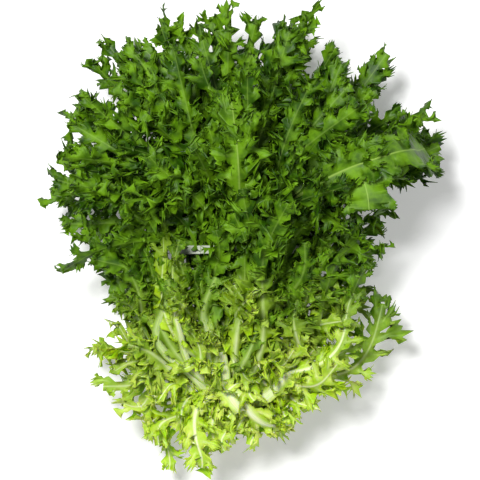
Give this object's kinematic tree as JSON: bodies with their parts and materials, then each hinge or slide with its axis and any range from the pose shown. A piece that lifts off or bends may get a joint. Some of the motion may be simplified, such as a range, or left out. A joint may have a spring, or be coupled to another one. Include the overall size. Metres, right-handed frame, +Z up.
{
  "type": "curly endive head",
  "caption": "Loose curly endive head with frilly toothed leaves on a cut crown, banded at the waist and lying on its side.",
  "frame": {"origin": "middle of the head's box, on the surface that the head lies on", "axes": "+Y along the head from the cut crown to the leaf tips, +X across it, +Z up from the surface"},
  "size_m": [0.2822, 0.3324, 0.144],
  "materials": {
    "leaf_green": "satin",
    "leaf_blanched": "satin",
    "crown_white": "matte",
    "tie_white": "satin"
  },
  "bodies": {
    "root": {"crown": "crown_white", "tie_band": "tie_white", "long_leaf_01": "leaf_green", "long_leaf_02": "leaf_green", "long_leaf_03": "leaf_green", "long_leaf_04": "leaf_green", "long_leaf_05": "leaf_green", "long_leaf_06": "leaf_green", "long_leaf_07": "leaf_green", "long_leaf_08": "leaf_green", "long_leaf_09": "leaf_green", "long_leaf_10": "leaf_green", "long_leaf_11": "leaf_green", "long_leaf_12": "leaf_green", "long_leaf_13": "leaf_green", "long_leaf_14": "leaf_green", "long_leaf_15": "leaf_green", "long_leaf_16": "leaf_green", "long_leaf_17": "leaf_green", "long_leaf_18": "leaf_green", "long_leaf_19": "leaf_green", "long_leaf_20": "leaf_green", "long_leaf_21": "leaf_green", "long_leaf_22": "leaf_green", "long_leaf_23": "leaf_green", "long_leaf_24": "leaf_green", "long_leaf_25": "leaf_green", "long_leaf_26": "leaf_green", "long_leaf_27": "leaf_green", "long_leaf_28": "leaf_green", "long_leaf_29": "leaf_green", "long_leaf_30": "leaf_green", "long_leaf_31": "leaf_green", "long_leaf_32": "leaf_green", "short_leaf_01": "leaf_blanched", "short_leaf_02": "leaf_blanched", "short_leaf_03": "leaf_blanched", "short_leaf_04": "leaf_blanched", "short_leaf_05": "leaf_blanched", "short_leaf_06": "leaf_blanched", "short_leaf_07": "leaf_blanched", "short_leaf_08": "leaf_blanched", "short_leaf_09": "leaf_blanched", "short_leaf_10": "leaf_blanched", "short_leaf_11": "leaf_blanched", "short_leaf_12": "leaf_blanched", "short_leaf_13": "leaf_blanched", "short_leaf_14": "leaf_blanched", "short_leaf_15": "leaf_blanched", "short_leaf_16": "leaf_blanched", "short_leaf_17": "leaf_blanched", "short_leaf_18": "leaf_blanched", "short_leaf_19": "leaf_blanched", "short_leaf_20": "leaf_blanched", "short_leaf_21": "leaf_blanched", "short_leaf_22": "leaf_blanched", "short_leaf_23": "leaf_blanched", "short_leaf_24": "leaf_blanched"}
  },
  "joints": []
}
